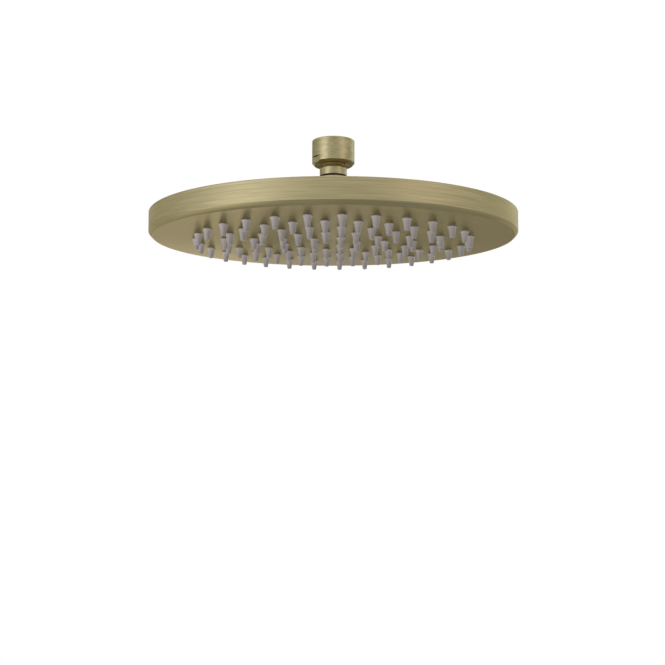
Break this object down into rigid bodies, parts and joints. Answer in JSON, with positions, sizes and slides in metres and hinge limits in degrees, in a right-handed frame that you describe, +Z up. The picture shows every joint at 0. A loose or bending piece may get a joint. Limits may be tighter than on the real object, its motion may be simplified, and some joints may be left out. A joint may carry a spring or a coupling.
{
  "type": "round shower head",
  "caption": "Round rain shower head with a ball swivel: a wide shallow brass disc with rubber cone nozzles under its face, hung from a threaded union nut.",
  "frame": {"origin": "centre of the inlet thread's mouth, in the top face of the union nut", "axes": "+Z up along the thread axis, out of the inlet; the nozzle rings start on +X"},
  "size_m": [0.25, 0.25, 0.0772],
  "materials": {
    "brushed_brass": "brushed, satin",
    "plain_brass": "turned",
    "steel": "bright",
    "black_rubber": "matt",
    "grey_silicone": "soft matt",
    "white_plastic": "moulded"
  },
  "bodies": {
    "union": {"union_nut": "brushed_brass", "inlet_washer": "black_rubber", "filter_screen": "steel"},
    "seat": {"ball_seat_ring": "white_plastic", "ball_seal": "black_rubber"},
    "regulator": {"flow_regulator": "white_plastic", "regulator_ring": "black_rubber"},
    "head": {"swivel_ball": "brushed_brass", "stem_washer": "black_rubber", "back_cover": "brushed_brass", "locknut_washer": "steel", "stem_locknut": "plain_brass", "hub_insert": "plain_brass", "hub_seal": "black_rubber", "chamber_cover": "white_plastic", "chamber_seal": "black_rubber", "chamber_screws": "steel", "nozzle_mat": "grey_silicone", "front_shell": "brushed_brass"}
  },
  "joints": [
    {"name": "swivel_turn", "type": "hinge", "parent": "union", "child": "seat", "pos_m": [0, 0, -0.013], "axis": [0, 0, 1], "continuous": true},
    {"name": "swivel_tilt", "type": "hinge", "parent": "seat", "child": "regulator", "pos_m": [0, 0, -0.013], "axis": [1, 0, 0], "range_deg": [-10, 10]},
    {"name": "head_spin", "type": "hinge", "parent": "regulator", "child": "head", "pos_m": [0, 0, -0.013], "axis": [0, 0, 1], "continuous": true}
  ]
}
